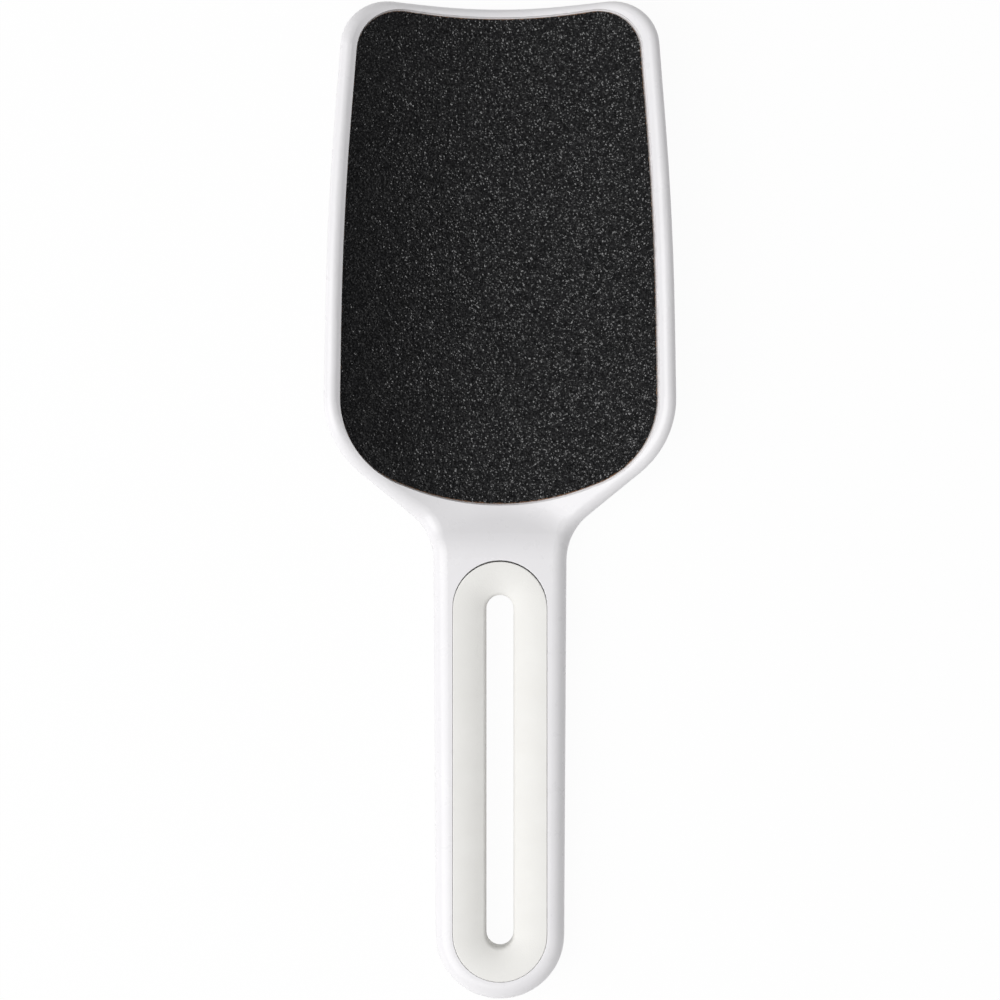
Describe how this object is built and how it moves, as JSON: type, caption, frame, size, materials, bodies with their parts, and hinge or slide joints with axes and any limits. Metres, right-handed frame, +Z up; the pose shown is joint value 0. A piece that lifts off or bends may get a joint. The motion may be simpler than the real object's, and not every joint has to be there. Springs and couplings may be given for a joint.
{
  "type": "foot file",
  "caption": "Two-sided foot file: white plastic paddle with a troughed head, black abrasive pads and a slotted grip with soft off-white inserts.",
  "frame": {"origin": "middle of the paddle's length and width, on the table it lies on", "axes": "+Y along the paddle towards the tip of the head, +X to the right seen from the trough side, +Z up out of the trough"},
  "size_m": [0.0732, 0.2098, 0.019],
  "materials": {
    "shell": "gloss",
    "insert": "satin",
    "coarse_grit": "rough",
    "fine_grit": "rough",
    "backing": "matte",
    "adhesive": "satin"
  },
  "bodies": {
    "root": {"front_shell": "shell", "back_shell": "shell", "front_grip_insert": "insert", "back_grip_insert": "insert", "coarse_adhesive": "adhesive", "coarse_backing": "backing", "coarse_grit": "coarse_grit", "fine_adhesive": "adhesive", "fine_backing": "backing", "fine_grit": "fine_grit"}
  },
  "joints": []
}
